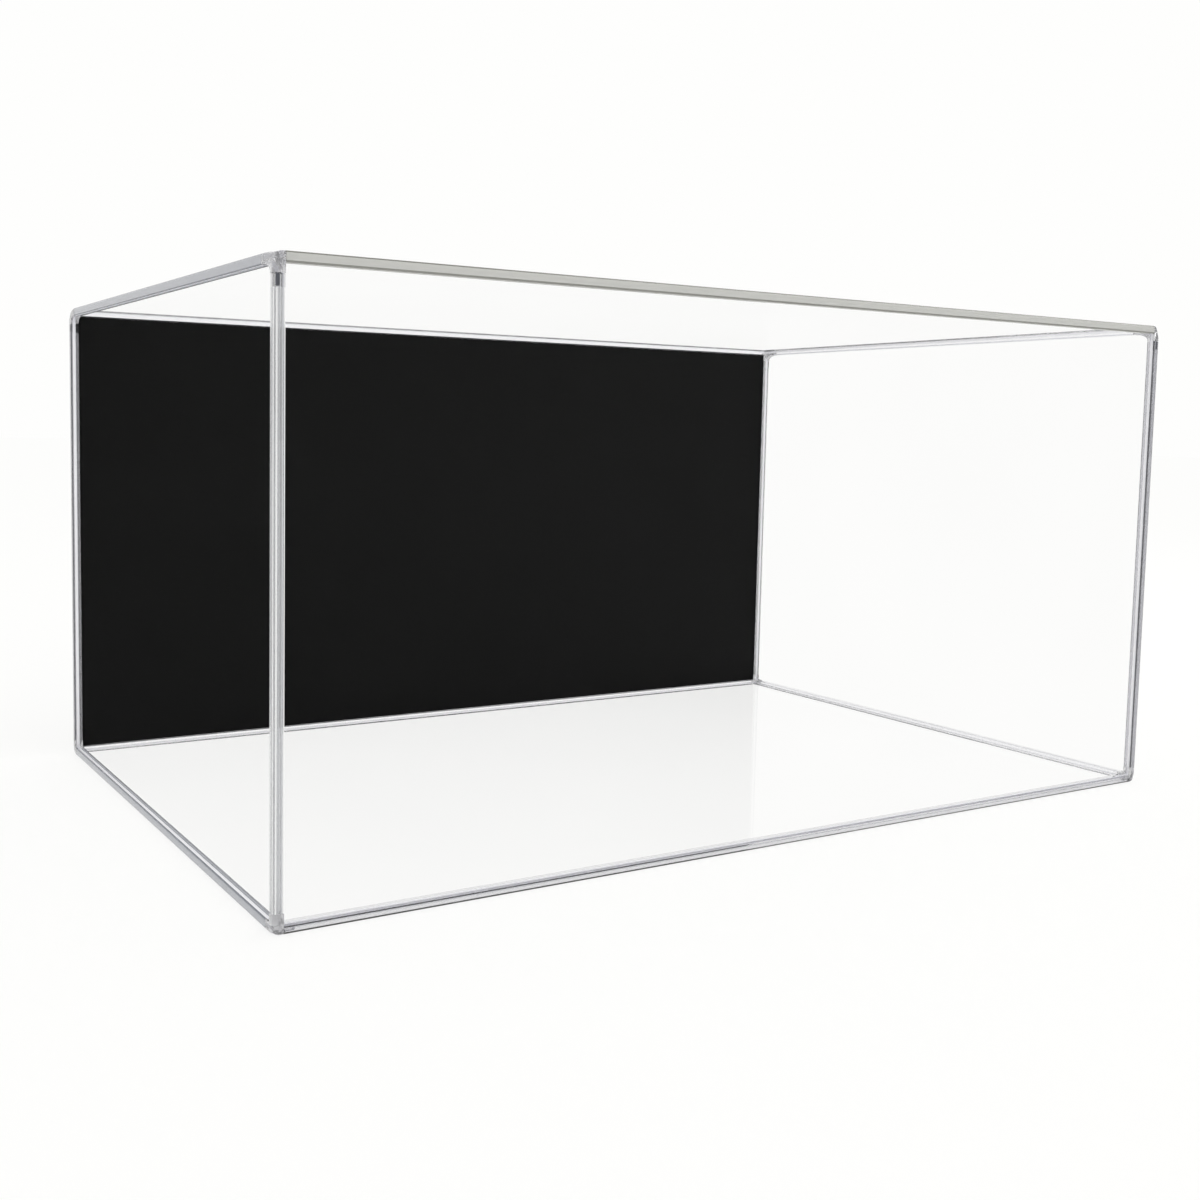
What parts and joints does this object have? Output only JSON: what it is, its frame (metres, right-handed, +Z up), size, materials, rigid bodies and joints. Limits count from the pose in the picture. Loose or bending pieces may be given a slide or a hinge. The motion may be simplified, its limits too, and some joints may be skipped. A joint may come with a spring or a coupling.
{
  "type": "shoe display case",
  "caption": "Clear box-shaped display case for shoes, framed by grooved edge strips and rounded corners, with an opaque black back and a lid that lifts off.",
  "frame": {"origin": "centre of the underside, on the surface that the case stands on", "axes": "+Z up, -Y towards the open-looking front, +Y towards the black back, X along the width"},
  "size_m": [0.38, 0.246, 0.19],
  "materials": {
    "clear_strip": "clear extruded plastic, glossy",
    "clear_corner": "clear moulded plastic, glossy",
    "clear_sheet": "clear polished sheet",
    "black_sheet": "opaque black, even matt"
  },
  "bodies": {
    "case": {"bottom_corner_front_left": "clear_corner", "bottom_corner_front_right": "clear_corner", "bottom_corner_back_left": "clear_corner", "bottom_corner_back_right": "clear_corner", "post_front_left": "clear_strip", "post_front_right": "clear_strip", "post_back_left": "clear_strip", "post_back_right": "clear_strip", "bottom_strip_front": "clear_strip", "bottom_strip_back": "clear_strip", "bottom_strip_left": "clear_strip", "bottom_strip_right": "clear_strip", "floor_panel": "clear_sheet", "front_panel": "clear_sheet", "left_panel": "clear_sheet", "right_panel": "clear_sheet", "back_panel": "black_sheet"},
    "lid": {"top_corner_front_left": "clear_corner", "top_corner_front_right": "clear_corner", "top_corner_back_left": "clear_corner", "top_corner_back_right": "clear_corner", "top_strip_front": "clear_strip", "top_strip_back": "clear_strip", "top_strip_left": "clear_strip", "top_strip_right": "clear_strip", "top_panel": "clear_sheet"}
  },
  "joints": [
    {"name": "lid_lift", "type": "slide", "parent": "case", "child": "lid", "axis": [0, 0, 1], "range_m": [0, 0.2]}
  ]
}
